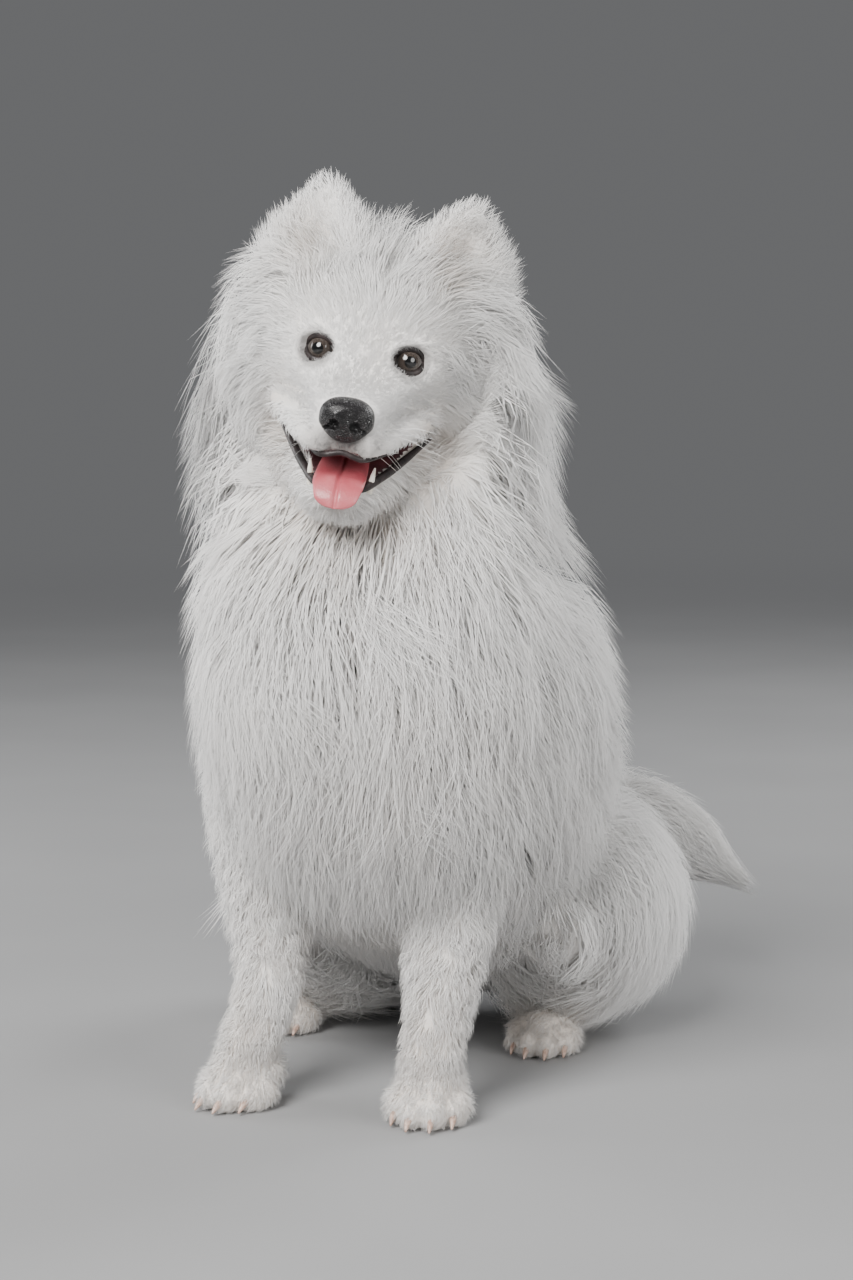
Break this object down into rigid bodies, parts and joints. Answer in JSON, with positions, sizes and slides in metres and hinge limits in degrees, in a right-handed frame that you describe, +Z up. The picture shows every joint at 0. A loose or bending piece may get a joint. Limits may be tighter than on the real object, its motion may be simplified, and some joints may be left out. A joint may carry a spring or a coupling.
{
  "type": "samoyed",
  "caption": "Life-size white long-coated spitz dog sitting upright, mouth open with the tongue out, head turned and tilted a little, tail laid to one side",
  "frame": {"origin": "on the floor, at the middle of the bounding box in X and Y", "axes": "+X to the dog's left, +Y to its tail, +Z up; the body faces -Y"},
  "size_m": [0.3802, 0.583, 0.6848],
  "materials": {
    "fur": "soft white fur",
    "eye": "glossy",
    "black_skin": "moist",
    "tongue": "moist",
    "tooth": "glossy"
  },
  "bodies": {
    "root": {"eye_left": "eye", "eye_right": "eye", "nose": "black_skin", "tongue": "tongue", "canine_lower_left": "tooth", "canine_lower_right": "tooth", "upper_lip": "black_skin", "lower_lip": "black_skin", "lower_jaw": "fur", "head": "fur", "ear_left": "fur", "ear_right": "fur", "neck": "fur", "forepaw_left": "fur", "forepaw_right": "fur", "hind_foot_left": "fur", "hind_foot_right": "fur", "haunch_left": "fur", "haunch_right": "fur", "trunk": "fur", "foreleg_left": "fur", "foreleg_right": "fur", "tail": "fur"}
  },
  "joints": []
}
